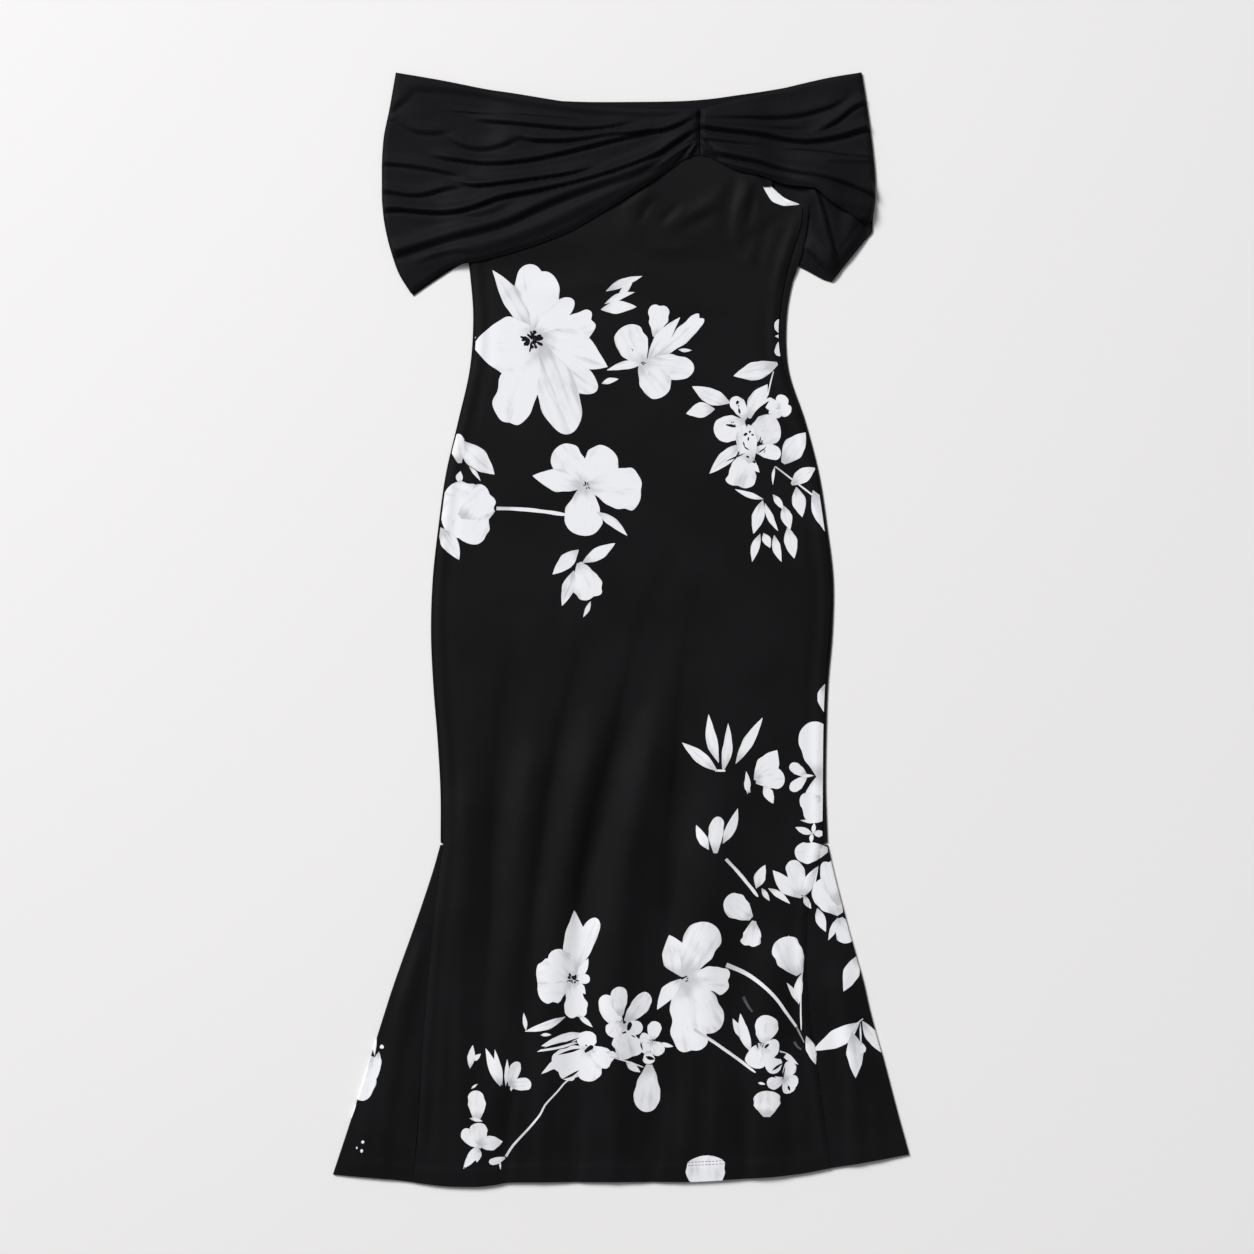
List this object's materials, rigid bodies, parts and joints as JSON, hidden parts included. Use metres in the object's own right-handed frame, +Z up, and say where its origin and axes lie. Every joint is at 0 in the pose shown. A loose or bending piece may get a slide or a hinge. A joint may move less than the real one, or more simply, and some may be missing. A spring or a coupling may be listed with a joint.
{
  "type": "off-shoulder dress",
  "caption": "Off-shoulder trumpet dress in black jersey with a white flower print, a gathered band over the bust and a godet in each side seam, laid flat on its back.",
  "frame": {"origin": "middle of the footprint, on the surface the dress lies on", "axes": "+X to the right as seen from above, +Y towards the neckline, +Z up from the surface"},
  "size_m": [0.6336, 1.2244, 0.017],
  "materials": {
    "plain_jersey": "matte",
    "printed_jersey": "matte"
  },
  "bodies": {
    "root": {"back_drape": "plain_jersey", "back_panel": "printed_jersey", "neck_casing": "plain_jersey", "front_panel": "printed_jersey", "left_godet": "printed_jersey", "right_godet": "printed_jersey", "left_drape": "plain_jersey", "right_drape": "plain_jersey", "armhole_tab": "plain_jersey"}
  },
  "joints": []
}
